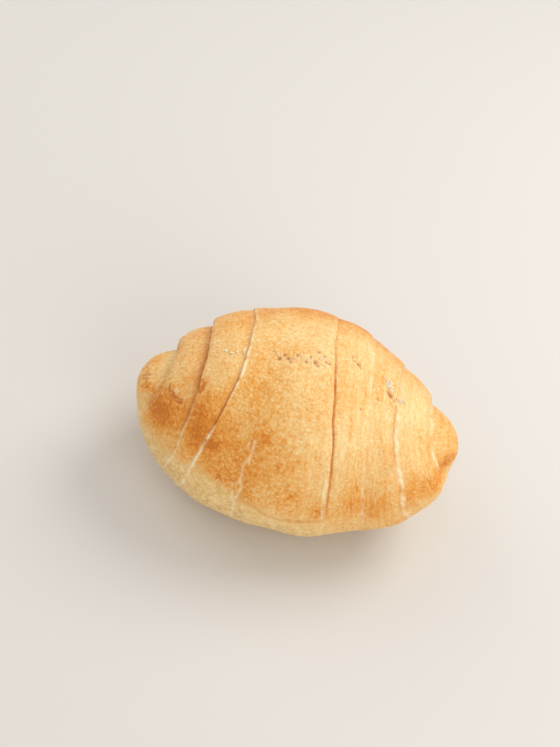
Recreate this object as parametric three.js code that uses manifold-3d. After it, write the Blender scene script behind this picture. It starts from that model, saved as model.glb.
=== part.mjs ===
import * as THREE from 'three';
import { mergeVertices } from 'three/addons/utils/BufferGeometryUtils.js';
import Module from 'manifold-3d';

// A salted bread roll wound from a tapering strip of dough, its laps stepping down from the
// broad middle one to a small knob at each end. Millimetres: X runs along the roll, +Y is its
// back, +Z is up, and it rests on z = 0.

// Loaf as if it had no laps
const loafLength = 122;
const loafHeight = 70;
const bellyHalfWidth = 43.6;
const bellyLevel = 28.2;
const undersideSink = 3;
const crownPower = 1.98;
const undersidePower = 2.25;

// Taper and bend towards each end: the knobs lie higher than the belly and nearer the front
const leftEnd = { taper: 1.13, lift: 10, forward: 5.5 };
const rightEnd = { taper: 1.11, lift: 12.5, forward: 6.8 };
const liftPower = 10;
const forwardPower = 2;
const swells = [
  { at: -34, spread: 13, share: 0.033 },
  { at: 2, spread: 16, share: 0.03 },
  { at: 30, spread: 9, share: -0.047 },
];

// Angles round the roll in degrees: 0 below, 90 at the back, 180 on the crown, 270 in front
const backTurn = 110;
const crownTurn = 175;
const shoulderTurn = 210;
const frontTurn = 245;
const footTurn = 300;
const trackTurns = [backTurn, crownTurn, shoulderTurn, frontTurn, footTurn];

// Lap edges from the middle outwards: the x that each passes at those five angles, its
// height, the width of its rounded lip, the depth of its crease and the angle by which it
// sinks to the share left
const leftLaps = [
  { track: [-26.1, -22.6, -23.7, -30.4, -39.9], step: 0.9, lip: 0.8, crease: 0.2, sunkBy: 270, left: 0.1 },
  { track: [-39.9, -37.5, -36.4, -38.9, -47.5], step: 2.7, lip: 1.8, crease: 0.35, sunkBy: 270, left: 0.1 },
  { track: [-52.3, -49, -50.1, -55, -59.5], step: 4.2, lip: 3.4, crease: 0.3, sunkBy: 268, left: 0.08 },
];
const rightLaps = [
  { track: [6.3, 7.9, 12.2, 16.6, 20.8], step: 0.6, lip: 1, crease: 0.5, sunkBy: 300, left: 0.4 },
  { track: [20.6, 22.2, 25.3, 28.5, 35.9], step: 0.7, lip: 4, crease: 0.15, sunkBy: 300, left: 0.5 },
  { track: [36, 34.2, 34.7, 41.8, 50.3], step: 1.3, lip: 3.6, crease: 0.2, sunkBy: 290, left: 0.3 },
  { track: [50.2, 47.8, 50.6, 57.6, 60], step: 2.8, lip: 4.4, crease: 0.2, sunkBy: 262, left: 0.05 },
];
const lipShare = 0.6;
const footReach = 0.75;
const lastFootReach = 14;
const creaseHalfWidth = 0.8;

// Under the roll the base is pressed smooth: the laps soften between these angles from its
// middle, and beyond the wide one no edge is seen
const underTurn = 45;
const softFrom = 22;
const softTo = 55;

// Crust unevenness: waves along and round the roll
const waves = [
  { along: 0.115, round: 2, shift: 0.4, height: 0.35 },
  { along: 0.19, round: 3, shift: 2.1, height: 0.28 },
  { along: 0.31, round: 5, shift: 4.4, height: 0.16 },
];

// Places where the crust has sunk, or swollen where the depth is negative, and their spread
const dimples = [
  { at: 58.6, turn: 244, spread: 5, depth: 2.4 },
  { at: 55, turn: 268, spread: 7, depth: -1.4 },
];

// Mesh fineness: rings in each span between lap edges, and points round a ring
const spanRings = [7, 5, 5, 15, 5, 5, 5, 7];
const pointsRound = 64;

// Coarse salt in a row along the crown: each patch spreads about a place on the crust
const saltPatches = [
  { at: -33.6, turn: 179, along: 0.6, round: 1, grains: 2 },
  { at: -29, turn: 186, along: 3.5, round: 3, grains: 6 },
  { at: -23.4, turn: 187, along: 1, round: 2.5, grains: 3 },
  { at: -12, turn: 188, along: 2.5, round: 3, grains: 3 },
  { at: 0, turn: 188, along: 7, round: 4, grains: 6 },
  { at: 16, turn: 180, along: 3, round: 3, grains: 3 },
  { at: 30.2, turn: 179, along: 2.6, round: 5, grains: 14 },
  { at: 36.2, turn: 185, along: 2.2, round: 4.5, grains: 7 },
];
const grainSmall = 0.4;
const grainLarge = 0.7;
const grainStretch = 0.35;
const grainRise = 0.2;

// Seed and steps of the repeatable draws
const seed = 4817;
const drawFactor = 1664525;
const drawStep = 1013904223;
const drawRange = 2 ** 32;

const halfLength = loafLength / 2;
const degree = Math.PI / 180;
const fullTurn = 360;
const halfTurn = fullTurn / 2;

function clamp(value, low, high) {
  return Math.min(Math.max(value, low), high);
}

// Eases from 0 to 1 with no corner at either end
function ease(value) {
  const share = clamp(value, 0, 1);
  return share * share * (3 - 2 * share);
}

// Seeded draws between 0 and 1
function drawer(start) {
  let state = start;
  return () => {
    state = (state * drawFactor + drawStep) % drawRange;
    return state / drawRange;
  };
}

// Distance over the crust from the middle of the roll out to x
const outlineStart = 0.85;
const outlineBulge = 0.075;
function overCrust(x) {
  const tilt = Math.asin(clamp(x / halfLength, -1, 1));
  return halfLength * (outlineStart * tilt + outlineBulge * Math.sin(2 * tilt));
}

// How far a place under the roll has come from the foot of the front to that of the back
function underShare(turn) {
  const below = turn > halfTurn ? turn - fullTurn : turn;
  return ease((below + underTurn) / (2 * underTurn));
}

function isUnder(turn) {
  return turn < underTurn || turn > fullTurn - underTurn;
}

// Slope of a track at one of its stations: level at the back, then the mean of both sides
function trackSlope(track, station) {
  const spanSlope = (from) => (track[from + 1] - track[from]) / (trackTurns[from + 1] - trackTurns[from]);
  if (station === 0) {
    return 0;
  }
  if (station === trackTurns.length - 1) {
    return spanSlope(station - 1);
  }
  return (spanSlope(station - 1) + spanSlope(station)) / 2;
}

// The x of a lap edge at an angle: a smooth curve through its stations, level past either
// end; under the roll it runs from the foot of the front back to its own start
function edgeAt(lap, turn) {
  const track = lap.track;
  const foot = track[track.length - 1];
  if (isUnder(turn)) {
    return foot + (track[0] - foot) * underShare(turn);
  }
  const held = clamp(turn, backTurn, footTurn);
  const after = Math.max(trackTurns.findIndex((place) => place >= held), 1);
  const width = trackTurns[after] - trackTurns[after - 1];
  const u = (held - trackTurns[after - 1]) / width;
  const slopeIn = trackSlope(track, after - 1) * width;
  const slopeOut = trackSlope(track, after) * width;
  return track[after - 1] * (1 + 2 * u) * (1 - u) ** 2 + track[after] * u * u * (3 - 2 * u)
    + slopeIn * u * (1 - u) ** 2 - slopeOut * u * u * (1 - u);
}

// Share of its height that a lap keeps at an angle, less towards the foot of the front
function lapStrength(lap, turn) {
  const lost = isUnder(turn) ? 1 - underShare(turn) : ease((turn - crownTurn) / (lap.sunkBy - crownTurn));
  return 1 - (1 - lap.left) * lost;
}

// How far one side's laps lie below the plain loaf: each lap swells out to its edge, rolls
// over its lip into a crease and drops to the lap below
function lapDepth(laps, side, x, turn) {
  const place = side * overCrust(x);
  const edges = laps.map((lap) => side * overCrust(edgeAt(lap, turn)));
  const pole = overCrust(halfLength);
  let depth = 0;
  laps.forEach((lap, index) => {
    const beyond = place - edges[index];
    const strength = lapStrength(lap, turn);
    if (beyond < 0) {
      const up = clamp(1 + beyond / lap.lip, 0, 1);
      depth += strength * lap.step * lipShare * (1 - Math.sqrt(1 - up * up));
    } else {
      const room = index + 1 < laps.length
        ? footReach * (edges[index + 1] - edges[index])
        : Math.min(lastFootReach, pole - edges[index]);
      const near = clamp(1 - beyond / room, 0, 1);
      depth += strength * lap.step * near * near;
    }
    depth += strength * lap.crease * clamp(1 - Math.abs(beyond) / creaseHalfWidth, 0, 1);
  });
  return depth;
}

// Gentle rise and fall of the baked crust, none at the two poles
function waveHeight(x, turn) {
  const calm = Math.sqrt(1 - (x / halfLength) ** 2);
  return waves.reduce((sum, wave) => {
    const phase = wave.along * x + wave.round * turn * degree + wave.shift;
    return sum + wave.height * Math.sin(phase) * calm;
  }, 0);
}

// Point of the plain loaf at x and an angle round the roll, and the direction out of it
function plainLoaf(x, turn) {
  const share = Math.abs(x) / halfLength;
  const end = x < 0 ? leftEnd : rightEnd;
  const swell = swells.reduce((sum, { at, spread, share: part }) => (
    sum + part * Math.exp(-(((x - at) / spread) ** 2))
  ), 1);
  const slim = Math.max(1 - share * share, 0) ** (end.taper / 2) * swell;
  const toBack = Math.sin(turn * degree);
  const toTop = -Math.cos(turn * degree);
  const power = toTop > 0 ? crownPower : undersidePower;
  const rise = toTop > 0 ? loafHeight - bellyLevel : bellyLevel + undersideSink;
  const across = (Math.abs(toBack) / bellyHalfWidth) ** power;
  const upright = (Math.abs(toTop) / rise) ** power;
  const radius = slim * (across + upright) ** (-1 / power);
  const axisY = -end.forward * share ** forwardPower;
  const axisZ = bellyLevel + end.lift * share ** liftPower;
  const point = new THREE.Vector3(x, axisY + radius * toBack, axisZ + radius * toTop);
  const outward = new THREE.Vector3(
    x / halfLength ** 2,
    radius * toBack / bellyHalfWidth ** 2,
    radius * toTop / rise ** 2,
  ).normalize();
  return { point, outward };
}

// How far the dimples sink a point of the plain loaf
const dimplePlaces = dimples.map(({ at, turn }) => plainLoaf(at, turn).point);
function dimpleDepth(point) {
  return dimples.reduce((sum, { spread, depth }, index) => (
    sum + depth * Math.exp(-point.distanceToSquared(dimplePlaces[index]) / spread ** 2)
  ), 0);
}

// Point of the crust at x and an angle round the roll
function crustPoint(x, turn) {
  const { point, outward } = plainLoaf(x, turn);
  const sunk = dimpleDepth(point);
  const fromBelow = Math.min(turn, fullTurn - turn);
  const shown = ease((fromBelow - softFrom) / (softTo - softFrom));
  const depth = lapDepth(leftLaps, -1, x, turn) + lapDepth(rightLaps, 1, x, turn);
  point.addScaledVector(outward, waveHeight(x, turn) - sunk - depth * shown);
  point.z = Math.max(point.z, 0);
  return point;
}

// Ring places along the roll at an angle, kept on every lap edge and on both sides of its
// crease; spacing is even over the crust between them
function ringPlaces(turn) {
  const edges = [
    ...leftLaps.map((lap) => edgeAt(lap, turn)).reverse(),
    ...rightLaps.map((lap) => edgeAt(lap, turn)),
  ];
  const pole = overCrust(halfLength);
  const bounds = [-pole, ...edges.map(overCrust), pole];
  const places = [];
  spanRings.forEach((rings, span) => {
    const low = bounds[span] + (span > 0 ? creaseHalfWidth : 0);
    const high = bounds[span + 1] - (span < spanRings.length - 1 ? creaseHalfWidth : 0);
    for (let ring = 0; ring <= rings; ring += 1) {
      places.push(low + (high - low) * ring / rings);
    }
    if (span < spanRings.length - 1) {
      places.push(bounds[span + 1]);
    }
  });
  return places.slice(1, -1).map(alongAt);
}

// The x whose distance over the crust is the given one, by halving
const halvings = 40;
function alongAt(distance) {
  let low = -halfLength;
  let high = halfLength;
  for (let step = 0; step < halvings; step += 1) {
    const middle = (low + high) / 2;
    if (overCrust(middle) < distance) {
      low = middle;
    } else {
      high = middle;
    }
  }
  return (low + high) / 2;
}

// Closed skin of the loaf: rings of points joined into facets, with a fan at either pole
function loafGeometry() {
  const columns = [];
  for (let step = 0; step < pointsRound; step += 1) {
    const turn = fullTurn * step / pointsRound;
    columns.push(ringPlaces(turn).map((x) => crustPoint(x, turn)));
  }
  const rings = columns[0].length;
  const points = [crustPoint(-halfLength, halfTurn), crustPoint(halfLength, halfTurn)];
  columns.forEach((column) => points.push(...column));
  const at = (ring, step) => 2 + (step % pointsRound) * rings + ring;
  const facets = [];
  for (let step = 0; step < pointsRound; step += 1) {
    facets.push(0, at(0, step + 1), at(0, step));
    facets.push(1, at(rings - 1, step), at(rings - 1, step + 1));
    for (let ring = 0; ring < rings - 1; ring += 1) {
      const corner = [at(ring, step), at(ring + 1, step), at(ring + 1, step + 1), at(ring, step + 1)];
      facets.push(corner[0], corner[2], corner[1], corner[0], corner[3], corner[2]);
    }
  }
  const geometry = new THREE.BufferGeometry();
  geometry.setFromPoints(points);
  geometry.setIndex(facets);
  return geometry;
}

// One salt crystal, an uneven chip part sunk in the crust
function grainGeometry(draw, patch) {
  const spread = () => draw() + draw() - 1;
  const x = patch.at + patch.along * spread();
  const turn = patch.turn + patch.round * spread();
  const size = grainSmall + (grainLarge - grainSmall) * draw();
  const stretch = () => 1 + grainStretch * spread();
  const grain = new THREE.IcosahedronGeometry(size, 0);
  grain.scale(stretch(), stretch(), stretch());
  grain.rotateX(Math.PI * draw());
  grain.rotateZ(Math.PI * draw());
  const seat = crustPoint(x, turn);
  grain.translate(seat.x, seat.y, seat.z + size * grainRise);
  return grain;
}

function toSolid(wasm, geometry) {
  const plain = geometry.clone();
  plain.deleteAttribute('normal');
  plain.deleteAttribute('uv');
  const welded = mergeVertices(plain);
  return new wasm.Manifold(new wasm.Mesh({
    numProp: 3,
    vertProperties: new Float32Array(welded.attributes.position.array),
    triVerts: new Uint32Array(welded.index.array),
  }));
}

function toGeometry(solid) {
  const mesh = solid.getMesh();
  const geometry = new THREE.BufferGeometry();
  geometry.setAttribute('position', new THREE.Float32BufferAttribute(mesh.vertProperties, mesh.numProp));
  geometry.setIndex(new THREE.Uint32BufferAttribute(mesh.triVerts, 1));
  geometry.computeVertexNormals();
  return geometry;
}

// Loaf and salt as one closed solid
function rollSolid(wasm) {
  const draw = drawer(seed);
  let solid = toSolid(wasm, loafGeometry());
  saltPatches.forEach((patch) => {
    for (let grain = 0; grain < patch.grains; grain += 1) {
      solid = solid.add(toSolid(wasm, grainGeometry(draw, patch)));
    }
  });
  return solid;
}

function crustMaterial() {
  return new THREE.MeshStandardMaterial({ color: 0xe6b16c, roughness: 0.62, metalness: 0 });
}

const wasm = await Module();
wasm.setup();

const roll = new THREE.Mesh(toGeometry(rollSolid(wasm)), crustMaterial());
roll.name = 'bread_roll';

const group = new THREE.Group();
group.name = 'salted_bread_roll';
group.add(roll);

export default group;
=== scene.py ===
import math

import bpy
import numpy as np
from mathutils import Matrix, Vector


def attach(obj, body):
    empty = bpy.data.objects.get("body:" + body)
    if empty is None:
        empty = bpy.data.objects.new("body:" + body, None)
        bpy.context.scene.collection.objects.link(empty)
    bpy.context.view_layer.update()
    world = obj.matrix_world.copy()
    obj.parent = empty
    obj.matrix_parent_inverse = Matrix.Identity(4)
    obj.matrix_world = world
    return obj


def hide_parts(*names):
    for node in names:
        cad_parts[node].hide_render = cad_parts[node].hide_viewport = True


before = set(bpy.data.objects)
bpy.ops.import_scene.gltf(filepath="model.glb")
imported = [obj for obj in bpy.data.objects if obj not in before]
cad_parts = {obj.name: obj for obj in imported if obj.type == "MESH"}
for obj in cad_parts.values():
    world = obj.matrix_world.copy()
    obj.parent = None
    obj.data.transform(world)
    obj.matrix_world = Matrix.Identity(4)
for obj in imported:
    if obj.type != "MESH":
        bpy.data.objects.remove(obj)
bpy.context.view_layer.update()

mm = 0.001
degree = math.pi / 180
print("frame loaded")

# camera at the photograph's angle, about half a metre away and turned a little clockwise
viewpoint = {
    "aim": (0.0, 0.0, 29.4),         # mm, middle of the roll
    "elevation": 50.0,               # degrees above the table
    "distance": 450.0,               # mm
    "turned": 13.5,                  # degrees that the picture is turned clockwise
    "pixelsPerMm": 2.619,            # scale at the aim point
    "aimPixel": (295.6, 420.2),      # where the aim point falls in the picture
    "picture": (560, 747),           # pixels across and down
    "sensor": 36.0,                  # mm
    "clip": (0.01, 20.0),            # nearest and farthest distance shown, in m
}


def placeCamera():
    # level camera axes turned about the line of sight, then swung until the aim point
    # falls on its own pixel
    v = viewpoint
    e, t = v["elevation"] * degree, v["turned"] * degree
    back = Vector((0, -math.cos(e), math.sin(e)))
    level = Vector((1, 0, 0))
    up = Vector((0, math.sin(e), math.cos(e)))
    right = level * math.cos(t) + up * math.sin(t)
    top = up * math.cos(t) - level * math.sin(t)
    axes = Matrix((right, top, back)).transposed()
    focal = v["pixelsPerMm"] * v["distance"]
    toAim = Vector((v["aimPixel"][0] - v["picture"][0] / 2,
                    v["picture"][1] / 2 - v["aimPixel"][1], -focal))
    swing = toAim.rotation_difference(Vector((0, 0, -1))).to_matrix()
    data = bpy.data.cameras.new("photoCamera")
    data.sensor_width = v["sensor"]
    data.lens = focal / max(v["picture"]) * data.sensor_width
    data.clip_start, data.clip_end = v["clip"]
    camera = bpy.data.objects.new("photoCamera", data)
    camera.matrix_world = (axes @ swing).to_4x4()
    camera.location = (Vector(v["aim"]) + back * v["distance"]) * mm
    bpy.context.scene.collection.objects.link(camera)
    bpy.context.scene.camera = camera


placeCamera()
print("camera placed")


def eased(value):
    # 0 below 0, 1 above 1, and a cubic with level ends between
    t = np.clip(value, 0, 1)
    return t * t * (3 - 2 * t)


def hump(value, middle, width):
    # 1 at the middle and falling off on both sides as a bell curve
    return np.exp(-((value - middle) / width) ** 2)


# factors that scatter whole numbers, for three places and a seed, and one that mixes them
scatterBy = (374761393, 668265263, 974634777, 144665)
mixBy = 1274126177
wordMask, halfWordMask = 0xFFFFFFFF, 0xFFFF


def cornerHeight(i, j, k, seed):
    # a repeatable height from -1 to 1 for each whole-number point
    n = sum(value * factor for value, factor in zip((i, j, k, seed), scatterBy)) & wordMask
    n = ((n ^ (n >> 13)) * mixBy) & wordMask
    return ((n ^ (n >> 16)) & halfWordMask) / (halfWordMask / 2) - 1


def lumps(x, y, z, size, seed):
    # random heights on a lattice of the given size, blended smoothly between its corners
    p = [np.asarray(c) / size for c in (x, y, z)]
    low = [np.floor(c).astype(np.int64) for c in p]
    f = [eased(c - l) for c, l in zip(p, low)]
    total = 0
    for di, dj, dk in np.ndindex(2, 2, 2):
        weight = ((f[0] if di else 1 - f[0]) * (f[1] if dj else 1 - f[1])
                  * (f[2] if dk else 1 - f[2]))
        total = total + weight * cornerHeight(low[0] + di, low[1] + dj, low[2] + dk, seed)
    return total


def layered(points, layers):
    # the sum of some layers of lumps, each given by its height, size and seed
    return sum(height * lumps(*points, size, seed) for height, size, seed in layers)


# the roll is a plain loaf, with laps that step down from its middle towards both ends;
# angles round it are in degrees: 0 below, 90 at the back, 180 on the crown, 270 in front
loaf = {
    "length": 122.0, "height": 70.0, "halfWidth": 43.6, "bellyLevel": 28.2, "sink": 3.0,  # mm
    "crownPower": 1.98, "underPower": 2.25,
    "taper": (1.13, 1.11), "lift": (10.0, 12.5), "forward": (5.5, 6.8),  # left end, right end
    "liftPower": 10.0, "forwardPower": 2.0,
    "overStart": 0.85, "overBulge": 0.075,  # how the length over the crust grows with x
    "swells": [(-34, 13, 0.033), (2, 16, 0.03), (30, 9, -0.047)],  # x, spread, share
    # how fast each wave runs along and round the roll, its shift and height
    "waves": [(0.115, 2, 0.4, 0.35), (0.19, 3, 2.1, 0.28), (0.31, 5, 4.4, 0.16)],
    "trackTurns": (110.0, 175.0, 210.0, 245.0, 300.0),
    # small waves of a lap edge: height, number round the roll, shift for each seed
    "unevenness": [(0.22, 4, 1.0), (0.16, 9, 2.3), (0.1, 17, 4.1), (0.06, 41, 1.7)],
    "lipShare": 0.6, "footReach": 0.75, "lastFootReach": 14.0,
    # angles from below: where the under side ends, and between which the relief fades in
    "underTurn": 45.0, "softFrom": 22.0, "softTo": 55.0,
    # where the resting face ends round and along the roll, each with its soft border
    "restTurn": 26.0, "restTurnSoft": 8.0, "restReach": 38.0, "restReachSoft": 14.0,
}

# lap edges from the middle outwards: x at the five track angles, height, rounding of the
# lip, the angle by which it has sunk to the share left, where its pale line runs and how
# wide its foot is in mm, browned and painted with the shade of the crease; look gives at
# some angles the depth of the crease, how brown and shaded the foot is and how pale the
# stretched line is
leftLaps = [
    {"track": (-26.1, -22.6, -23.7, -30.4, -39.9), "step": 0.9, "lip": 0.8, "sunkBy": 270.0,
     "left": 0.1, "paleAt": -0.4, "paleWide": 0.72, "footWide": 0.8, "seed": 1,
     "look": [(110, 0.0, 0.4, 0.25), (155, 0.0, 0.4, 0.6), (184, 0.02, 0.6, 1.1), (205, 0.1, 1.0, 1.0),
              (214, 0.3, 1.2, 0.3), (229, 0.38, 1.2, 0.1), (235, 0.14, 0.4, 0.9), (262, 0.03, 0.15, 1.5),
              (300, 0.0, 0.0, 1.2)]},
    {"track": (-39.9, -37.5, -36.4, -38.9, -47.5), "step": 2.7, "lip": 1.8, "sunkBy": 270.0,
     "left": 0.1, "paleAt": -0.3, "paleWide": 0.66, "footWide": 2.6, "seed": 2,
     "look": [(110, 0.1, 0.5, 0.4), (160, 0.1, 0.8, 0.6), (182, 0.15, 1.1, 0.4), (207, 0.2, 1.2, 0.1),
              (216, 0.2, 0.6, 0.3), (227, 0.1, 0.4, 0.6), (245, 0.04, 0.15, 0.8), (262, 0.0, 0.1, 0.7),
              (300, 0.0, 0.0, 0.4)]},
    {"track": (-52.3, -49.0, -50.1, -55.0, -59.5), "step": 4.2, "lip": 3.4, "sunkBy": 268.0,
     "left": 0.08, "paleAt": 0.6, "paleWide": 0.8, "footWide": 1.2, "seed": 3,
     "look": [(110, 0.2, 0.3, 0.2), (165, 0.2, 0.2, 0.4), (185, 0.2, 0.15, 0.8), (203, 0.25, 0.6, 0.7),
              (225, 0.25, 0.7, 0.8), (245, 0.15, 0.2, 0.8), (262, 0.05, 0.0, 0.5),
              (300, 0.0, 0.0, 0.2)]},
]
rightLaps = [
    {"track": (6.3, 7.9, 12.2, 16.6, 20.8), "step": 0.6, "lip": 1.0, "sunkBy": 300.0,
     "left": 0.4, "paleAt": -1.3, "paleWide": 0.62, "footWide": 0.4, "seed": 4,
     "look": [(110, 0.12, 0.2, 0.1), (165, 0.15, 0.35, 0.2), (182, 0.25, 0.9, 0.2),
              (200, 0.36, 1.5, 0.1), (232, 0.42, 1.4, 0.15), (242, 0.48, 1.0, 0.8),
              (258, 0.4, 0.7, 0.9), (265, 0.2, 0.3, 0.8), (272, 0.06, 0.1, 0.4), (300, 0.0, 0.0, 0.1)]},
    {"track": (20.6, 22.2, 25.3, 28.5, 35.9), "step": 0.7, "lip": 4.0, "sunkBy": 300.0,
     "left": 0.5, "paleAt": 0.3, "paleWide": 0.62, "footWide": 0.6, "seed": 5,
     "look": [(110, 0.08, 0.1, 0.2), (150, 0.1, 0.2, 0.8), (196, 0.06, 0.2, 0.8), (206, 0.04, 0.1, 0.2),
              (232, 0.04, 0.15, 0.3), (243, 0.15, 0.4, 0.7), (270, 0.15, 0.45, 0.7),
              (300, 0.1, 0.2, 0.4)]},
    {"track": (36.0, 34.2, 34.7, 41.8, 50.3), "step": 1.3, "lip": 3.6, "sunkBy": 290.0,
     "left": 0.3, "paleAt": 1.4, "paleWide": 1.25, "footWide": 0.35, "seed": 6,
     "look": [(110, 0.08, 0.2, 0.3), (170, 0.04, 0.1, 0.4), (184, 0.06, 0.25, 0.6), (193, 0.2, 1.2, 0.9),
              (200, 0.2, 1.4, 1.2), (218, 0.2, 1.1, 1.0), (240, 0.15, 0.7, 1.2), (262, 0.12, 0.5, 1.1),
              (300, 0.06, 0.1, 0.5)]},
    {"track": (50.2, 47.8, 50.6, 57.6, 60.0), "step": 2.8, "lip": 4.4, "sunkBy": 262.0,
     "left": 0.05, "paleAt": 1.4, "paleWide": 0.9, "footWide": 0.4, "seed": 7,
     "look": [(110, 0.1, 0.4, 0.3), (165, 0.25, 1.0, 0.6), (185, 0.3, 1.3, 1.1), (200, 0.3, 1.1, 1.2),
              (216, 0.2, 0.7, 1.0), (232, 0.1, 0.4, 0.7), (250, 0.0, 0.1, 0.2), (300, 0.0, 0.0, 0.1)]},
]
# where the middle lap has torn a little
stretchLine = {"track": (-11.5, -11.5, -11.7, -12.6, -14.9), "seed": 8}


def overCrust(x):
    # distance over the crust from the middle out to x, as on a flattened circle
    half = loaf["length"] / 2
    tilt = np.arcsin(np.clip(x / half, -1, 1))
    return half * (loaf["overStart"] * tilt + loaf["overBulge"] * np.sin(2 * tilt))


# a table of x and its distance over the crust, to find x from that distance
tableSteps = 4001
xTable = loaf["length"] / 2 * np.sin(np.linspace(-math.pi / 2, math.pi / 2, tableSteps))
overTable = overCrust(xTable)


def underShare(turn):
    # how far a place under the roll has come from the foot of the front to that of the back
    below = np.where(turn > 180, turn - 360, turn)
    return eased((below + loaf["underTurn"]) / (2 * loaf["underTurn"]))


def isUnder(turn):
    # true for the angles under the roll, where a lap edge runs back to its start
    return (turn < loaf["underTurn"]) | (turn > 360 - loaf["underTurn"])


def edgeAt(lap, turn):
    # x of a lap edge: a smooth curve through its five places, level past either end, and
    # under the roll back to its own start; a little uneven, as dough is
    knots, track = np.array(loaf["trackTurns"]), np.array(lap["track"])
    spans = np.diff(track) / np.diff(knots)
    slopes = np.concatenate([[0], (spans[:-1] + spans[1:]) / 2, spans[-1:]])
    held = np.clip(turn, knots[0], knots[-1])
    i = np.clip(np.searchsorted(knots, held) - 1, 0, len(knots) - 2)
    width = knots[i + 1] - knots[i]
    u = (held - knots[i]) / width
    x = (track[i] * (1 + 2 * u) * (1 - u) ** 2 + track[i + 1] * u * u * (3 - 2 * u)
         + slopes[i] * width * u * (1 - u) ** 2 - slopes[i + 1] * width * u * u * (1 - u))
    home = track[-1] + (track[0] - track[-1]) * underShare(turn)
    a = turn * degree
    uneven = sum(high * np.sin(count * a + shift * lap["seed"])
                 for high, count, shift in loaf["unevenness"])
    return np.where(isUnder(turn), home, x) + uneven


def lapStrength(lap, turn):
    # share of its height that a lap keeps, less towards the foot of the front
    crown = loaf["trackTurns"][1]
    sunk = eased((turn - crown) / (lap["sunkBy"] - crown))
    lost = np.where(isUnder(turn), 1 - underShare(turn), sunk)
    return 1 - (1 - lap["left"]) * lost


# how the lines along a lap edge look; sizes in mm, layers as height, size and seed
lapLine = {
    "ragged": [(0.2, 1.1, 31), (0.16, 2.6, 32)],
    "whole": 0.7, "breaks": [(0.9, 1.7, 33)], "fullest": 1.3,
    "creaseAt": 0.2, "creaseWide": 0.42, "ridge": 0.16, "ridgeWide": 0.6,
    "footStart": 0.1, "footSoft": 0.32, "paleGain": 1.3,
}


def lapRelief(laps, side, x, turn, points):
    # depth below the plain loaf: a lap swells to its edge, rolls over its lip into a crease
    # and drops to the next; with it come the foot, browned and painted with the shade of the
    # crease, and the pale stretched line, both ragged by small lumps
    line = lapLine
    place = side * overCrust(x)
    edges = [side * overCrust(edgeAt(lap, turn)) for lap in laps]
    pole = overCrust(loaf["length"] / 2)
    ragged = layered(points, line["ragged"])
    broken = np.clip(line["whole"] + layered(points, line["breaks"]), 0, line["fullest"])
    depth, foot, pale = np.zeros_like(x), np.zeros_like(x), np.zeros_like(x)
    for index, lap in enumerate(laps):
        beyond = place - edges[index]
        strength = lapStrength(lap, turn)
        up = np.clip(1 + beyond / lap["lip"], 0, 1)
        rolled = lap["step"] * loaf["lipShare"] * (1 - np.sqrt(np.clip(1 - up * up, 0, 1)))
        if index + 1 < len(laps):
            room = loaf["footReach"] * (edges[index + 1] - edges[index])
        else:
            room = np.minimum(loaf["lastFootReach"], pole - edges[index])
        near = np.clip(1 - beyond / np.maximum(room, 1e-6), 0, 1)
        depth += strength * np.where(beyond < 0, rolled, lap["step"] * near * near)
        off = beyond + ragged
        stations = np.array(lap["look"])
        groove, brownAndShade, stretched = (np.interp(turn, stations[:, 0], stations[:, k]) for k in (1, 2, 3))
        crease = groove * hump(beyond, line["creaseAt"], line["creaseWide"])
        ridge = line["ridge"] * stretched * broken * hump(off, lap["paleAt"], line["ridgeWide"])
        depth += crease - ridge
        # painted shade and browning in the crease at the foot of the lap edge
        past = off - line["footStart"]
        fading = np.exp(-past / lap["footWide"])
        foot += brownAndShade * np.where(past < 0, hump(past, 0, line["footSoft"]), fading)
        pale += line["paleGain"] * stretched * broken * hump(off, lap["paleAt"], lap["paleWide"])
    return depth, foot, pale


def waveHeight(x, turn):
    # three gentle waves along and round the roll, none at the poles
    calm = np.sqrt(np.clip(1 - (x / (loaf["length"] / 2)) ** 2, 0, 1))
    return sum(high * np.sin(along * x + count * turn * degree + shift) * calm
               for along, count, shift, high in loaf["waves"])


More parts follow.
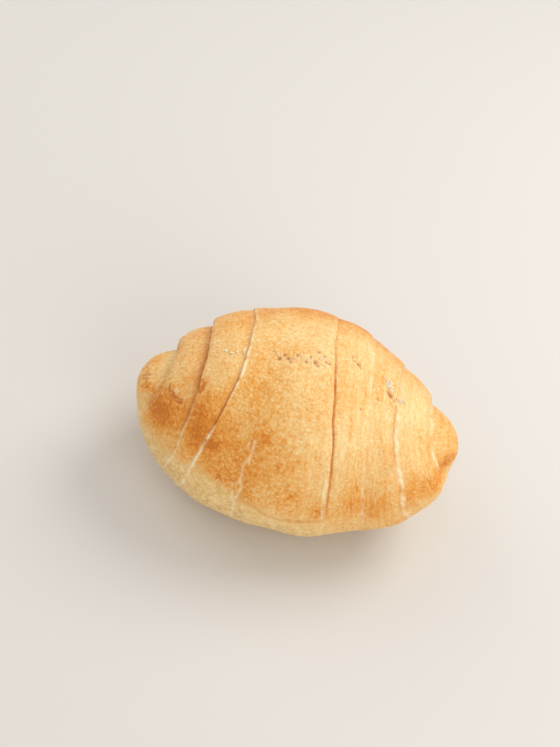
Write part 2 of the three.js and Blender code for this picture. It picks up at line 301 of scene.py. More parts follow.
# small marks in the crust, each place as x and angle: pits also have a radius, spots of
# amber, the lens and the dimples a radius and an amount; the others are lines through places
marks = {
    "pits": [(-10.8, 190, 0.8), (-7.6, 189.5, 0.8), (-6.6, 191.5, 0.7), (-4.5, 187, 0.6),
             (-1.2, 190, 0.5), (2.0, 189.5, 0.9), (3.1, 191, 0.6), (2.4, 183, 0.8),
             (4.7, 184.5, 0.7), (7.0, 188, 0.5), (-9.2, 187.4, 0.5), (-13.4, 186, 0.5),
             (-2.6, 184.8, 0.45), (0.4, 187.2, 0.5), (5.6, 187.6, 0.5), (-11.8, 183.6, 0.4),
             (14.6, 178, 0.7), (15.4, 180, 0.5), (17.0, 180.8, 0.8), (18.2, 182.5, 0.5),
             (31.5, 186.4, 1.2), (30.4, 184.5, 0.8), (33.2, 187.5, 0.7), (21.6, 204, 0.4),
             (27.1, 193, 0.5)],
    "amber": [(-26.4, 239.5, 2.4, 0.2), (-21.1, 255.8, 2.6, 0.18), (-18.5, 252, 1.6, 0.14),
              (3.4, 256.8, 4.0, 0.14), (0.5, 259, 2.4, 0.1), (15.6, 263.8, 2.2, 0.24),
              (-12.4, 232.2, 1.8, 0.16), (-9.0, 230, 5.5, 0.12), (26.0, 246.0, 1.3, 0.3),
              (34.3, 256, 4.5, 0.04), (51.0, 243.2, 4.0, 0.08), (-55.0, 172, 1.8, 0.16),
              (-57.0, 211, 2.2, 0.42), (-58.6, 190, 2.0, 0.14), (-36.6, 196, 1.5, 0.3),
              (-35.3, 206.5, 1.5, 0.36), (-35.4, 212, 1.5, 0.36), (-45.2, 213.6, 1.9, 0.3),
              (-54.4, 219, 1.6, 0.2), (33.0, 190.5, 1.5, 0.26), (34.2, 203, 1.0, 0.26),
              (35.4, 209, 0.9, 0.24)],
    "scars": [[(-46.9, 210), (-46.7, 213), (-46.1, 216), (-45.0, 219.2), (-43.4, 221.4),
               (-41.4, 221.8)],
              [(-45.4, 214.6), (-44.5, 217.6), (-43.1, 219.2), (-41.6, 219.4)]],
    "lens": [(-44.3, 214.6, 0.6, 1.0)],
    "dimples": [(58.6, 244, 5.0, 2.4), (55, 268, 7.0, -1.4)],
    "folds": [[(-17, 262), (-8.6, 266.5), (-3, 270.5), (2.2, 273.2), (9, 272.5), (17.5, 269.5)]],
    "strands": [[(-11.9, 232.5), (-12.1, 238), (-12.4, 244)], [(-13.8, 234.0), (-13.9, 236.5)],
                [(-12.9, 242), (-14.2, 245.5), (-13.8, 250.5), (-14.1, 255), (-15.2, 257),
                 (-16.6, 258.5)],
                [(-14.0, 254), (-12.9, 257), (-13.5, 261), (-14.2, 265.5)],
                [(-14.4, 268), (-14.5, 276), (-14.9, 292)], [(-16.0, 262), (-15.2, 270)]],
    "knobLines": [[(-58.6, 201), (-57.2, 199.4), (-55.4, 198.8)], [(-58.2, 206.5), (-56.4, 205.2)]],
    "paleStreaks": [[(-10.8, 178), (-10.5, 185), (-10.0, 190.5)], [(-4.0, 192), (-3.6, 199)],
                    [(2.6, 176), (2.9, 182)]],
}

# how the surface is broken up; sizes in mm, layers as height, size and seed
relief = {
    "ragged": [(0.22, 1.2, 14), (0.2, 2.3, 15)],
    "blisters": [(0.12, 7.0, 11), (0.09, 3.3, 12), (0.085, 1.9, 13), (0.07, 1.25, 16)],
    # drawn dough lies in fine ribs: height, mm for a degree round the roll, size and seed
    "ribs": [(0.06, 0.12, 1.2, 17), (0.1, 0.16, 3.1, 18)],
    "leastDrawn": 0.2, "drawnFrom": -2.0, "drawnOver": 26.0,
    "pitSize": 0.85, "pitFill": 1.1, "rimSize": 1.7, "rimTurn": 1.2,
    # half width of each line, and how much of the raggedness it takes
    "scarLine": (0.4, 0.5), "foldLine": (0.6, 1.0), "streakLine": (0.4, 0.6),
    "strandLine": (0.5, 1.0), "knobLine": (0.35, 0.5),
    # depth or height of each mark
    "pitDeep": 0.45, "rimHigh": 0.24, "scarDeep": 0.4, "lensHigh": 0.25, "strandDeep": 0.12,
    "knobDeep": 0.2, "foldDeep": 0.32,
    # how much each mark pales or browns the crust; along the fold this is painted shade as well as
    # browning
    "strandPale": 0.8, "strandRagged": 2.0, "lensPale": 0.9, "streakPale": 0.45, "rimPale": 0.4,
    "foldFootShade": 0.7, "scarDark": 1.5, "knobDark": 0.8,
}

# where the crust stayed pale
paleParts = {
    # low on the front, from an angle that changes along x
    "front": [(-61, 246), (-55, 258), (-50, 257), (-44, 252), (-37.6, 251), (-30, 252),
              (-22.8, 255), (-8.6, 261), (5, 267), (16, 269), (23, 282), (45, 294), (61, 296)],
    "back": 72.0, "soft": 14.0,  # low on the back, and the width of the soft border
    "wander": [(4.5, 8.0, 34), (3.0, 3.0, 35)],
    # past this x it keeps below this height
    "endFrom": 42.0, "endOver": 12.0, "endLevel": 14.0, "endSoft": 10.0,
    # the valley beside the left knob: x, angle, radius and amount
    "valley": [(-51.2, 166, 2.4, 1.0), (-51.4, 180, 2.6, 1.1), (-52.4, 192, 2.0, 0.9),
               (-53.6, 206, 1.4, 0.35), (-55.4, 228, 1.6, 0.8), (-56.4, 242, 2.4, 0.9)],
}


def plainCrust(x, turn):
    # superellipse rings that taper to both poles along a bent, lifted axis; returns the
    # points and the outward directions
    half = loaf["length"] / 2
    share = np.abs(x) / half
    right = x > 0
    end = {name: np.where(right, loaf[name][1], loaf[name][0]) for name in ("taper", "lift", "forward")}
    swell = 1 + sum(part * hump(x, at, spread) for at, spread, part in loaf["swells"])
    slim = np.clip(1 - share * share, 0, None) ** (end["taper"] / 2) * swell
    toBack, toTop = np.sin(turn * degree), -np.cos(turn * degree)
    power = np.where(toTop > 0, loaf["crownPower"], loaf["underPower"])
    rise = np.where(toTop > 0, loaf["height"] - loaf["bellyLevel"], loaf["bellyLevel"] + loaf["sink"])
    radius = slim * ((np.abs(toBack) / loaf["halfWidth"]) ** power
                     + (np.abs(toTop) / rise) ** power) ** (-1 / power)
    points = np.stack([x, -end["forward"] * share ** loaf["forwardPower"] + radius * toBack,
                       loaf["bellyLevel"] + end["lift"] * share ** loaf["liftPower"] + radius * toTop])
    outward = np.stack([x / half ** 2, radius * toBack / loaf["halfWidth"] ** 2,
                        radius * toTop / rise ** 2])
    return points, outward / (np.linalg.norm(outward, axis=0) + 1e-12)


def restingShare(x, turn):
    # 1 on the face that it rests on, 0 outside it
    fromBelow = np.minimum(turn, 360 - turn)
    inTurn = 1 - eased((fromBelow - loaf["restTurn"]) / loaf["restTurnSoft"])
    return inTurn * (1 - eased((np.abs(x) - loaf["restReach"]) / loaf["restReachSoft"]))


def nearest(points, places):
    # distance in mm from each point to each of some places given as x and angle
    xs, turns = (np.array([place[k] for place in places], float) for k in (0, 1))
    spots, _ = plainCrust(xs, turns)
    return np.linalg.norm(points[:, None] - spots.reshape((3, -1) + (1,) * (points.ndim - 1)), axis=0)


def alongLine(points, places, steps=36):
    # distance in mm from each point to a line drawn through some places
    track = np.array(places, float)
    s = np.linspace(0, len(places) - 1, steps)
    whole = np.arange(len(places))
    line = np.stack([np.interp(s, whole, track[:, 0]), np.interp(s, whole, track[:, 1])], 1)
    return nearest(points, line).min(axis=0)


def lineField(points, lines, width, ragged):
    # 1 on any of some lines and falling off to their sides as a bell curve, with a ragged rim
    gaps = [alongLine(points, line) for line in lines]
    return sum(hump(gap + ragged, 0, width) for gap in gaps).clip(0, 1)


def spotField(points, spots, ragged):
    # the sum of round spots, each given by x, angle, radius and height of its bell curve
    gaps = nearest(points, spots)
    shape = (-1,) + (1,) * (points.ndim - 1)
    sizes = np.array([s[2] for s in spots]).reshape(shape)
    heights = np.array([s[3] for s in spots]).reshape(shape)
    return (heights * hump(gaps + ragged, 0, sizes)).sum(axis=0)


def palePlaces(x, turn, points, ragged):
    # low on the front and on the back, with a wandering border, not where it rests and not
    # high on the right end, and in the valley beside the left knob
    part = paleParts
    start = np.interp(x, [p[0] for p in part["front"]], [p[1] for p in part["front"]])
    wander = layered(points, part["wander"])
    cream = np.maximum(eased((turn - start + wander) / part["soft"]),
                       eased((part["back"] - turn + wander) / part["soft"]))
    above = eased((points[2] - part["endLevel"] + wander) / part["endSoft"])
    cream *= 1 - eased((x - part["endFrom"]) / part["endOver"]) * above
    valley = spotField(points, part["valley"], ragged)
    return np.clip(cream * (1 - restingShare(x, turn)) + valley, 0, 1)


def crustSurface(x, turn):
    # the plain loaf moved along its outward direction by waves, laps, wrinkles and blisters,
    # and pressed flat where it rests; returns the points in mm and what the paint needs
    r = relief
    points, outward = plainCrust(x, turn)
    fromBelow = np.minimum(turn, 360 - turn)
    shown = eased((fromBelow - loaf["softFrom"]) / (loaf["softTo"] - loaf["softFrom"]))
    depthL, footL, paleL = lapRelief(leftLaps, -1, x, turn, points)
    depthR, footR, paleR = lapRelief(rightLaps, 1, x, turn, points)
    ragged = layered(points, r["ragged"])
    blister = layered(points, r["blisters"])
    drawn = r["leastDrawn"] + (1 - r["leastDrawn"]) * eased((x - r["drawnFrom"]) / r["drawnOver"])
    ribs = sum(height * lumps(overCrust(x), turn * rate, turn * 0, size, seed)
               for height, rate, size, seed in r["ribs"]) * drawn
    pits = [(at, angle, r["pitSize"] * radius, r["pitFill"]) for at, angle, radius in marks["pits"]]
    rims = [(at, angle + r["rimTurn"], r["rimSize"] * radius, 1.0)
            for at, angle, radius in marks["pits"]]
    pit = spotField(points, pits, ragged).clip(0, 1)
    rim = (spotField(points, rims, ragged).clip(0, 1) - pit).clip(0, 1)
    lens = spotField(points, marks["lens"], ragged)
    scar, fold, streak, strand, knobLine = (
        lineField(points, marks[lines], r[look][0], r[look][1] * ragged)
        for lines, look in (("scars", "scarLine"), ("folds", "foldLine"), ("paleStreaks", "streakLine"),
                            ("strands", "strandLine"), ("knobLines", "knobLine")))
    high = (waveHeight(x, turn) - spotField(points, marks["dimples"], 0) - (depthL + depthR) * shown
            + (blister + ribs) * shown - r["pitDeep"] * pit + r["rimHigh"] * rim - r["scarDeep"] * scar
            + r["lensHigh"] * lens - r["strandDeep"] * strand - r["knobDeep"] * knobLine
            - r["foldDeep"] * fold)
    moved = points + outward * high
    moved[2] = np.maximum(moved[2], 0)
    pale = (paleL + paleR + r["strandPale"] * strand * (1 + r["strandRagged"] * ragged)
            + r["lensPale"] * lens + r["streakPale"] * streak + r["rimPale"] * rim)
    # the foot field is browning and painted shade in the creases at the lap edges and along the fold
    return moved, {"foot": (footL + footR + r["foldFootShade"] * fold) * shown, "pale": pale * shown,
                   "cream": palePlaces(x, turn, points, ragged), "pit": pit, "drawn": drawn,
                   "dark": np.clip(r["scarDark"] * scar + r["knobDark"] * knobLine, 0, 1)}


def newMesh(name, points, quads, triangles=None, smooth=True):
    # points in mm; quads and triangles as rows of point numbers
    faces = quads.tolist() + (triangles.tolist() if triangles is not None else [])
    mesh = bpy.data.meshes.new(name)
    mesh.from_pydata((points * mm).tolist(), [], faces)
    mesh.polygons.foreach_set("use_smooth", np.full(len(faces), smooth))
    mesh.update()
    piece = bpy.data.objects.new(name, mesh)
    bpy.context.scene.collection.objects.link(piece)
    return piece


def addField(piece, name, values):
    # a value for every point, which the material reads by its name
    field = piece.data.attributes.new(name, "FLOAT", "POINT")
    field.data.foreach_set("value", np.asarray(values, np.float32).ravel())


grid = {
    "spanRings": (30, 30, 32, 44, 50, 36, 32, 32, 28),  # rings between the lines that run round
    "round": 312, "closeness": 0.75, "crownFiner": 0.3,
    "mmPerDegree": 0.66, "poleRound": 120.0, "mapPerMm": 0.1,  # the map that follows the laps
}


def crustRings(turn):
    # ring places at each angle, in mm over the crust: every span between two lap edges has
    # its own number of rings, drawn closer together towards both edges
    pole = overCrust(loaf["length"] / 2)
    edges = [edgeAt(lap, turn) for lap in leftLaps[::-1] + [stretchLine] + rightLaps]
    left, right = np.full_like(turn, -pole), np.full_like(turn, pole)
    bounds = np.stack([left] + [overCrust(edge) for edge in edges] + [right])
    middle = bounds.mean(axis=1)
    rows, windRows = [], []
    for span, count in enumerate(grid["spanRings"]):
        s = np.arange(count) / count
        s = s - grid["closeness"] * np.sin(2 * math.pi * s) / (2 * math.pi)
        rows.append(bounds[span] + (bounds[span + 1] - bounds[span]) * s[:, None])
        windRows.append(middle[span] + (middle[span + 1] - middle[span]) * s)
    return np.concatenate(rows)[1:], np.concatenate(windRows)[1:]


def makeCrust():
    # rings of points round the roll, closer together over the crown, with a fan at either pole
    part = np.arange(grid["round"]) / grid["round"]
    turn = 360 * (part + grid["crownFiner"] * np.sin(2 * math.pi * part) / (2 * math.pi))
    over, wind = crustRings(turn)
    x = np.interp(over, overTable, xTable)
    turns = np.broadcast_to(turn, x.shape)
    points, paint = crustSurface(x, turns)
    rings, around = x.shape
    poles, _ = plainCrust(np.array([-1, 1]) * loaf["length"] / 2, np.array([180.0, 180.0]))
    flat = np.concatenate([points.reshape(3, -1).T, poles.T])
    number = np.arange(rings * around).reshape(rings, around)
    nextRound = np.roll(number, -1, axis=1)
    quads = np.stack([number[:-1], nextRound[:-1], nextRound[1:], number[1:]], axis=-1).reshape(-1, 4)
    first, last = rings * around, rings * around + 1
    caps = np.concatenate([
        np.stack([np.full(around, first), nextRound[0], number[0]], axis=-1),
        np.stack([np.full(around, last), number[-1], nextRound[-1]], axis=-1)])
    piece = newMesh("breadCrust", flat, quads, caps)
    for name, values in paint.items():
        addField(piece, name, np.concatenate([values.ravel(), [0, 0]]))
    tops = np.full(2, toast["pole"])
    addField(piece, "toast", np.concatenate([toastOf(x, turns, points).ravel(), tops]))
    addField(piece, "amber", np.concatenate([amberOf(points).ravel(), [0, 0]]))
    # a map that follows the laps: across them in x, along them in y, both in cm
    windOf = np.concatenate([np.broadcast_to(wind[:, None], x.shape).ravel(), overCrust(poles[0])])
    roundOf = np.concatenate([(turns * grid["mmPerDegree"]).ravel(), np.full(2, grid["poleRound"])])
    corners = np.concatenate([quads.ravel(), caps.ravel()])
    onward = np.tile(np.arange(around) == around - 1, rings - 1).repeat(4)
    crossing = onward * np.tile([0, 1, 1, 0], (rings - 1) * around)
    crossing = np.concatenate([crossing, np.zeros(caps.size)])
    roundAt = roundOf[corners] + crossing * 360 * grid["mmPerDegree"]
    place = np.stack([windOf[corners], roundAt], axis=-1) * grid["mapPerMm"]
    uv = piece.data.uv_layers.new(name="windMap")
    uv.data.foreach_set("uv", place.astype(np.float32).ravel())
    print("crust made:", len(quads) * 2 + len(caps), "triangles")
    return piece


# how browned the crust is, 0 pale to 1 dark, with painted shade low on the left: places as x, angle, two
# spreads and an amount
toast = {
    "base": 0.42, "pole": 0.5, "resting": 0.2,
    "places": [(5, 168, 22, 12, -0.12), (3, 197, 9, 11, -0.14), (-15, 177, 8, 8, -0.08),
               (-20, 248, 8, 17, 0.14), (-12, 254, 5, 10, 0.15), (48, 206, 5, 14, 0.1),
               (22, 217, 9, 18, -0.13), (42, 192, 9, 26, -0.18), (57, 178, 5, 20, 0.14),
               # the two strongest places, low on the left at 232 degrees, are partly browning and partly
               # painted shade on the lower left
               (-17, 214, 9, 16, 0.08), (-6, 243, 16, 13, 0.18), (-32, 232, 7, 19, 0.52),
               (-48.5, 232, 7.5, 19, 0.47), (-56, 168, 4, 16, 0.1), (50, 247, 10, 15, 0.24),
               (34, 260, 8, 10, 0.16), (12, 171, 6, 10, 0.08), (10, 262, 14, 9, 0.12),
               (26, 257, 6, 8, 0.16), (59, 226, 4, 24, 0.28), (-2, 128, 40, 24, 0.18),
               (-2, 144, 30, 12, 0.13), (-27, 160, 9, 12, 0.1), (30, 140, 18, 10, 0.07),
               (-25, 110, 13, 14, 0.12), (24, 102, 15, 12, 0.14), (-8, 92, 9, 10, 0.08)],
    # layers as height, size and seed: soft patches, and the rims and lumps of amber spots
    "patches": [(0.07, 14.0, 21), (0.05, 5.0, 22)],
    "amberRims": [(0.9, 2.2, 24), (0.5, 1.0, 25)], "amberLumps": [(0.7, 1.7, 23)],
}


def amberOf(points):
    # browned spots with ragged rims, in small lumps
    ragged = layered(points, toast["amberRims"])
    return spotField(points, marks["amber"], ragged) * (1 + layered(points, toast["amberLumps"]))


def toastOf(x, turn, points):
    # a level, with paler and browner places as bell curves in x and angle, and soft patches
    level = np.full(x.shape, toast["base"])
    for at, angle, wide, tall, amount in toast["places"]:
        level += amount * hump(x, at, wide) * hump(turn, angle, tall)
    level += layered(points, toast["patches"])
    level += toast["resting"] * restingShare(x, turn)
    return level


def srgb(red, green, blue):
    # 0 to 255 screen colour to the linear one that shaders take
    c = np.array([red, green, blue]) / 255
    return (*np.where(c < 0.04045, c / 12.92, ((c + 0.055) / 1.055) ** 2.4), 1.0)


class NodeDesk:
    # short calls to add shader nodes and join them
    def __init__(self, name):
        self.material = bpy.data.materials.new(name)
        self.material.use_nodes = True
        self.tree = self.material.node_tree
        self.shader = self.tree.nodes["Principled BSDF"]

    def add(self, kind, **settings):
        node = self.tree.nodes.new(kind)
        for key, value in settings.items():
            setattr(node, key, value)
        return node

    def put(self, value, socket):
        if isinstance(value, (int, float, tuple)):
            socket.default_value = value
        else:
            self.tree.links.new(value, socket)

    def field(self, name):
        return self.add("ShaderNodeAttribute", attribute_name=name).outputs["Fac"]

    def scaled(self, vector, scale):
        node = self.add("ShaderNodeMapping")
        self.put(vector, node.inputs["Vector"])
        node.inputs["Scale"].default_value = scale
        return node.outputs["Vector"]

    def noise(self, vector, scale, detail, roughness):
        node = self.add("ShaderNodeTexNoise")
        settings = {"Vector": vector, "Scale": scale, "Detail": detail, "Roughness": roughness}
        for name, value in settings.items():
            self.put(value, node.inputs[name])
        return node.outputs["Fac"]

    def cells(self, vector, scale, output="Distance"):
        node = self.add("ShaderNodeTexVoronoi")
        self.put(vector, node.inputs["Vector"])
        self.put(scale, node.inputs["Scale"])
        return node.outputs[output]

    def math(self, operation, *values, clamp=False):
        node = self.add("ShaderNodeMath", operation=operation, use_clamp=clamp)
        for socket, value in zip(node.inputs, values):
            self.put(value, socket)
        return node.outputs[0]

    def around(self, value, gain):
        # how far the value lies over 0.5, times a gain
        return self.math("MULTIPLY", self.math("SUBTRACT", value, 0.5), gain)

    def broken(self, name, pattern, fill, gain):
        # a field of the mesh that a pattern breaks up, held between 0 and 1
        share = self.total(fill, self.around(pattern, gain))
        return self.math("MULTIPLY", self.field(name), share, clamp=True)

    def total(self, *values):
        result = values[0]
        for value in values[1:]:
            result = self.math("ADD", result, value)
        return result

    def ramp(self, value, stops):
        node = self.add("ShaderNodeValToRGB")
        elements = node.color_ramp.elements
        while len(elements) < len(stops):
            elements.new(0.5)
        for element, (at, colour) in zip(elements, stops):
            element.position = at
            element.color = colour
        self.put(value, node.inputs["Fac"])
        return node.outputs["Color"]

    def mix(self, share, first, second):
        node = self.add("ShaderNodeMix", data_type="RGBA")
        sockets = (node.inputs[0], node.inputs[6], node.inputs[7])
        for socket, value in zip(sockets, (share, first, second)):
            self.put(value, socket)
        return node.outputs[2]

    def subsurface(self, weight, radius, scale):
        for name, value in (("Weight", weight), ("Radius", radius), ("Scale", scale)):
            self.shader.inputs["Subsurface " + name].default_value = value


crustLook = {
    # from pale cream over gold and orange to brown, and the colours of the lines and marks; the foot
    # colour is browning and painted shade in the creases
    "stops": [(0.0, srgb(248, 227, 170)), (0.22, srgb(246, 213, 149)), (0.42, srgb(241, 192, 118)),
              (0.6, srgb(236, 166, 74)), (0.8, srgb(223, 137, 29)), (1.0, srgb(192, 102, 16))],
    "cream": [(0.3, srgb(212, 168, 98)), (0.47, srgb(234, 200, 132)), (0.64, srgb(250, 226, 170))],
    "pale": srgb(252, 231, 184), "foot": srgb(207, 113, 8), "pit": srgb(180, 102, 40),
    "dark": srgb(198, 102, 26), "speck": srgb(176, 110, 50),
    # patterns that run with the laps: share of the scale along them, scale, detail, roughness
    "ribs": (0.08, 11.0, 4.0, 0.65), "streaks": (0.2, 16.0, 3.0, 0.6), "bands": (0.05, 4.5, 3.0, 0.6),
    # patterns that run every way: scale, detail, roughness
    "patches": (110.0, 4.0, 0.6), "mottle": (420.0, 3.0, 0.6), "grain": (900.0, 3.0, 0.6),
    "fine": (2100.0, 2.0, 0.6),
    # how much each of them browns or pales
    "ribsBy": 0.42, "streaksBy": 0.5, "bandsBy": 0.46, "patchesBy": 0.3, "mottleBy": 0.3,
    "blistersBy": 0.3, "grainBy": 0.5, "fineBy": 0.5, "dotsBy": 0.36, "darkest": 0.92,
    "coarse": 1.15, "lessDrawn": 0.6,  # the grain is weaker on drawn dough
    "amber": 0.8, "amberBy": 5.0, "creamSpots": (0.8, 0.6),
    # blister cells and their warp, and dots in some of a finer set of cells
    "blisterScale": 850.0, "warpScale": 500.0, "warpBy": 0.0008,
    "dotScale": 620.0, "dotShare": 0.5, "dotSharpness": 2.8,
    "speckScale": 260.0, "speckFrom": 0.78, "speckSize": 0.075, "speckBy": 0.65,
    # fill of each mask, and how much a pattern breaks it up
    "creamFill": 0.7, "creamBreak": 1.0, "footMask": (0.78, 0.9), "paleMask": (0.7, 1.2),
    "pitMask": (0.8, 1.4), "darkFill": 0.8,
    "roughness": 0.46, "roughnessBy": 0.3, "specular": 0.42,
    "subsurface": (0.14, (0.8, 0.56, 0.3), 0.0015),  # weight, radius, scale
    "bumpStrength": 0.8, "bump": 0.0004, "blisterBump": -0.3, "fineBump": 0.6, "dotBump": 0.3,
}


def crustMaterial():
    # toasted colour by level, with blister cells, grain, patches and ribs laid over it, then
    # the pale lines, the browned feet with painted shade in the creases along the laps, and the small
    # marks
    d = NodeDesk("toastedCrust")
    look = crustLook
    place = d.add("ShaderNodeTexCoord").outputs["Object"]
    wind = d.add("ShaderNodeUVMap", uv_map="windMap").outputs["UV"]
    warp = d.add("ShaderNodeTexNoise")
    d.put(place, warp.inputs["Vector"])
    warp.inputs["Scale"].default_value = look["warpScale"]
    shifted = d.add("ShaderNodeVectorMath", operation="MULTIPLY_ADD")
    d.put(warp.outputs["Color"], shifted.inputs[0])
    shifted.inputs[1].default_value = (look["warpBy"],) * 3
    d.put(place, shifted.inputs[2])
    blisters = d.cells(shifted.outputs["Vector"], look["blisterScale"])
    ribs, streaks, bands = (d.noise(d.scaled(wind, (1.0, look[name][0], 1.0)), *look[name][1:])
                            for name in ("ribs", "streaks", "bands"))
    patches, mottle, grain, fine = (d.noise(place, *look[name])
                                    for name in ("patches", "mottle", "grain", "fine"))
    # pale dots, where a small bubble has dried on the crust
    picked = d.math("GREATER_THAN", d.cells(place, look["dotScale"], "Color"), look["dotShare"])
    outward = d.math("MULTIPLY", d.cells(place, look["dotScale"]), look["dotSharpness"])
    dots = d.math("MULTIPLY", picked, d.math("SUBTRACT", 1.0, outward, clamp=True))
    lines = d.total(d.around(ribs, look["ribsBy"]), d.around(streaks, look["streaksBy"]),
                    d.around(bands, look["bandsBy"]))
    amberFill = d.total(look["amber"], d.around(mottle, look["amberBy"]))
    amber = d.math("MULTIPLY", d.field("amber"), amberFill)
    grains = d.total(d.around(patches, look["patchesBy"]), d.around(mottle, look["mottleBy"]),
                     d.around(blisters, look["blistersBy"]), d.around(grain, look["grainBy"]))
    coarse = d.math("SUBTRACT", look["coarse"], d.math("MULTIPLY", d.field("drawn"), look["lessDrawn"]))
    level = d.total(d.field("toast"), amber, d.math("MULTIPLY", grains, coarse),
                    d.around(fine, look["fineBy"]), d.math("MULTIPLY", lines, d.field("drawn")),
                    d.math("MULTIPLY", dots, -look["dotsBy"]))
    colour = d.ramp(d.math("MINIMUM", level, look["darkest"]), look["stops"])
    creamShare = d.total(look["creamFill"], d.around(grain, look["creamBreak"]),
                         d.around(patches, look["creamBreak"]))
    cream = d.math("MULTIPLY", d.field("cream"), creamShare, clamp=True)
    grainSpots, fineSpots = look["creamSpots"]
    spotted = d.total(mottle, d.around(grain, grainSpots), d.around(fine, fineSpots))
    colour = d.mix(cream, colour, d.ramp(spotted, look["cream"]))
    # painted shade and browning in the creases below the lap edges and along the fold
    colour = d.mix(d.broken("foot", grain, *look["footMask"]), colour, look["foot"])
    colour = d.mix(d.broken("pale", grain, *look["paleMask"]), colour, look["pale"])
    colour = d.mix(d.broken("pit", fine, *look["pitMask"]), colour, look["pit"])
    dark = d.math("MULTIPLY", d.field("dark"), look["darkFill"], clamp=True)
    colour = d.mix(dark, colour, look["dark"])
    # a sparse scatter of small brown specks
    chosen = d.math("GREATER_THAN", d.cells(place, look["speckScale"], "Color"), look["speckFrom"])
    spots = d.math("LESS_THAN", d.cells(place, look["speckScale"]), look["speckSize"])
    speck = d.math("MULTIPLY", d.math("MULTIPLY", chosen, spots), look["speckBy"])
    colour = d.mix(speck, colour, look["speck"])
    d.put(colour, d.shader.inputs["Base Color"])
    d.put(d.total(look["roughness"], d.around(grain, look["roughnessBy"])), d.shader.inputs["Roughness"])
    d.shader.inputs["Specular IOR Level"].default_value = look["specular"]
    d.subsurface(*look["subsurface"])
    bump = d.add("ShaderNodeBump")
    bump.inputs["Strength"].default_value = look["bumpStrength"]
    bump.inputs["Distance"].default_value = look["bump"]
    height = d.total(d.math("MULTIPLY", blisters, look["blisterBump"]), grain,
                     d.math("MULTIPLY", fine, look["fineBump"]),
                     d.math("MULTIPLY", lines, d.field("drawn")),
                     d.math("MULTIPLY", dots, look["dotBump"]))
    d.put(height, bump.inputs["Height"])
    d.put(bump.outputs["Normal"], d.shader.inputs["Normal"])
    return d.material


crust = makeCrust()
crust.data.materials.append(crustMaterial())
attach(crust, "root")
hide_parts("bread_roll")

# salt: small uneven crystals along the crown, thickest in one cluster on the right
salt = {
    # x, angle, spread of each, grains, size
    "patches": [(-33.6, 179, 0.3, 0.6, 2, 0.44), (-30, 187, 0.7, 1.2, 4, 0.42),
                (-26.4, 188.5, 1.2, 1.2, 6, 0.38), (-23.4, 187, 0.6, 1.5, 5, 0.42),
                (-27.3, 173, 0.3, 0.5, 1, 0.38), (-31, 183, 4, 4, 6, 0.24),
                (-12, 188, 1.6, 1.6, 5, 0.28), (-4, 188.5, 7, 3, 16, 0.24),
                (3, 188.5, 4, 3, 10, 0.26), (16, 180, 2.5, 2, 4, 0.26),
                (30.2, 179, 1.6, 2.8, 66, 0.38), (36.2, 185, 1.3, 2.4, 22, 0.3)],
    "spread": 0.6, "sizes": (0.55, 1.1), "stretch": (0.6, 1.15), "uneven": 0.3, "rise": 0.25,
    "seed": 4817,
    # cloudy white, with the crust under it painted in as a warm reflection
    "stops": [(0.3, srgb(238, 212, 170)), (0.7, srgb(255, 245, 216))],
    "cloud": (900.0, 2.0, 0.5),  # scale, detail, roughness
    "roughness": 0.2, "roughnessBy": 0.3, "subsurface": (0.3, (1.0, 0.9, 0.85), 0.001),
}


def makeSalt():
    # every crystal is a cube with its corners pushed about, turned at random and half sunk
    draw = np.random.default_rng(salt["seed"])
    rows = np.concatenate([np.tile(p[:4] + p[5:], (p[4], 1)) for p in salt["patches"]]).astype(float)
    count = len(rows)
    x = rows[:, 0] + rows[:, 2] * draw.normal(0, salt["spread"], count)
    turn = rows[:, 1] + rows[:, 3] * draw.normal(0, salt["spread"], count)
    seat, _ = crustSurface(x, turn)
    size = rows[:, 4] * draw.uniform(*salt["sizes"], count)
    corners = np.array([(i, j, k) for i in (-1, 1) for j in (-1, 1) for k in (-1, 1)], float)
    shape = corners + draw.normal(0, salt["uneven"], (count, 8, 3))
    shape *= (size[:, None] * draw.uniform(*salt["stretch"], (count, 3)))[:, None, :]
    quaternion = draw.normal(0, 1, (count, 4))
    quaternion /= np.linalg.norm(quaternion, axis=1)[:, None]
    w, a, b, c = quaternion.T
    spin = np.stack([
        np.stack([1 - 2 * (b * b + c * c), 2 * (a * b - c * w), 2 * (a * c + b * w)], -1),
        np.stack([2 * (a * b + c * w), 1 - 2 * (a * a + c * c), 2 * (b * c - a * w)], -1),
        np.stack([2 * (a * c - b * w), 2 * (b * c + a * w), 1 - 2 * (a * a + b * b)], -1)], 1)
    shape = np.einsum("nij,nkj->nki", spin, shape)
    shape += seat.T[:, None, :]
    shape[:, :, 2] += (size * salt["rise"])[:, None]
    box = np.array([(0, 1, 3, 2), (4, 6, 7, 5), (0, 4, 5, 1), (2, 3, 7, 6), (0, 2, 6, 4), (1, 5, 7, 3)])
    split = np.concatenate([box[:, [0, 1, 2]], box[:, [0, 2, 3]]])
    faces = (np.arange(count)[:, None, None] * 8 + split).reshape(-1, 3)
    piece = newMesh("saltGrains", shape.reshape(-1, 3), faces, smooth=False)
    print("salt made:", count, "grains")
    return piece


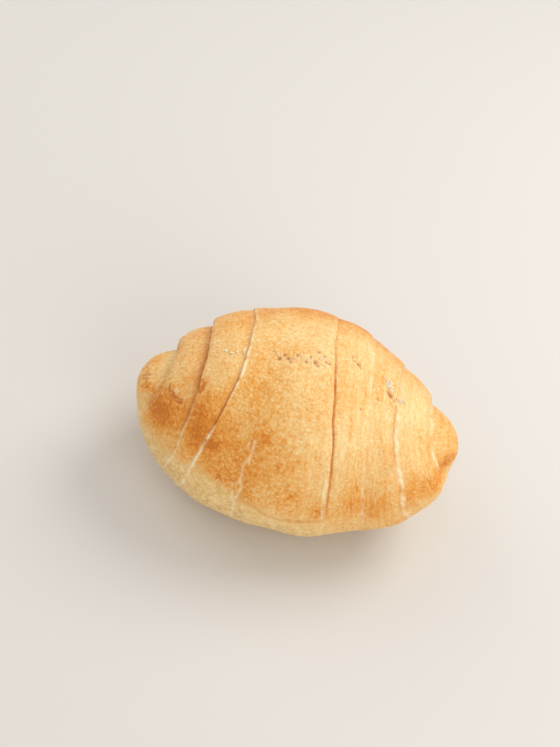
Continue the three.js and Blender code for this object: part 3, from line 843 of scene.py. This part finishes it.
def saltMaterial():
    # a noise takes the colour from cloudy to clear, and the roughness with it
    d = NodeDesk("coarseSalt")
    place = d.add("ShaderNodeTexCoord").outputs["Object"]
    cloud = d.noise(place, *salt["cloud"])
    d.put(d.ramp(cloud, salt["stops"]), d.shader.inputs["Base Color"])
    rough = d.total(salt["roughness"], d.math("MULTIPLY", cloud, salt["roughnessBy"]))
    d.put(rough, d.shader.inputs["Roughness"])
    d.subsurface(*salt["subsurface"])
    return d.material


grains = makeSalt()
grains.data.materials.append(saltMaterial())
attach(grains, "root")
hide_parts("bread_roll")

# table top and light
studio = {
    "table": srgb(216, 214, 211), "tableSize": 3.0, "tableRoughness": 0.7,
    "sky": (1.0, 0.97, 0.93, 1.0), "skyStrength": 0.64, "lampAim": (0, 0, 0.03),
    # name, place in m, size in m, watts, colour
    "lamps": [("keyLamp", (0.38, 0.33, 0.62), 0.5, 3.0, (1.0, 0.96, 0.9)),
              ("leftLamp", (-0.55, 0.3, 0.45), 0.6, 0.9, (1.0, 0.96, 0.92)),
              ("frontLamp", (0.45, -0.6, 0.45), 0.6, 2.2, (1.0, 0.97, 0.94))],
}


def makeStudio():
    # a wide pale table, round lamps turned to the roll, and an even sky
    half = studio["tableSize"] / 2 / mm
    corners = np.array([(-half, -half, 0), (half, -half, 0), (half, half, 0), (-half, half, 0)], float)
    table = newMesh("tableTop", corners, np.array([[0, 1, 2, 3]]), smooth=False)
    d = NodeDesk("paleTable")
    d.shader.inputs["Base Color"].default_value = studio["table"]
    d.shader.inputs["Roughness"].default_value = studio["tableRoughness"]
    table.data.materials.append(d.material)
    for name, place, size, power, colour in studio["lamps"]:
        data = bpy.data.lights.new(name, "AREA")
        data.shape, data.size, data.energy, data.color = "DISK", size, power, colour
        lamp = bpy.data.objects.new(name, data)
        lamp.location = place
        toAim = Vector(studio["lampAim"]) - Vector(place)
        lamp.rotation_euler = toAim.to_track_quat("-Z", "Y").to_euler()
        bpy.context.scene.collection.objects.link(lamp)
    world = bpy.data.worlds.new("softSky")
    world.use_nodes = True
    sky = world.node_tree.nodes["Background"]
    sky.inputs["Color"].default_value = studio["sky"]
    sky.inputs["Strength"].default_value = studio["skyStrength"]
    bpy.context.scene.world = world
    bpy.context.scene.view_settings.view_transform = "Standard"


makeStudio()
print("studio made")
